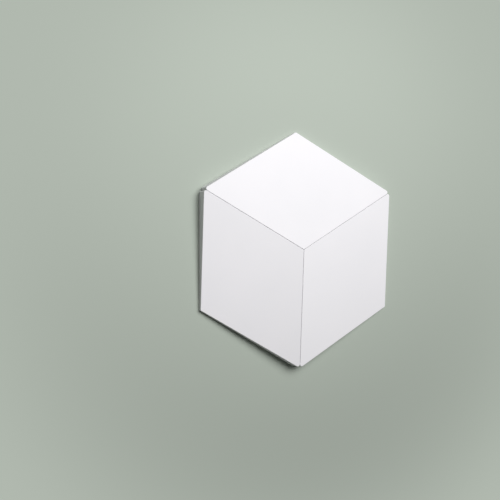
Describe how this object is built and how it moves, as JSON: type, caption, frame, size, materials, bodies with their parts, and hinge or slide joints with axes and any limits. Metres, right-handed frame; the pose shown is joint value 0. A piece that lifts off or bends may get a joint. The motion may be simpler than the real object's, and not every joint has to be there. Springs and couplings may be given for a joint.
{
  "type": "three-dimensional wall panel",
  "caption": "Hexagonal relief wall panel of rhombic wedge tiles whose flat sloping faces rise from a thin rim to a thick centre; flat backs glue to a wall.",
  "frame": {"origin": "centre of the hexagon, on the plane of the tiles' backs", "axes": "+Z out of the wall, towards the viewer of the panel; +Y up on the wall, through the thin corner of the upper tile; +X to the right as seen from the front"},
  "size_m": [0.2976, 0.3411, 0.0338],
  "materials": {
    "primed_polyurethane": "factory white primer, smooth and matte"
  },
  "bodies": {
    "root": {"upper_tile": "primed_polyurethane", "left_tile": "primed_polyurethane", "right_tile": "primed_polyurethane"}
  },
  "joints": []
}
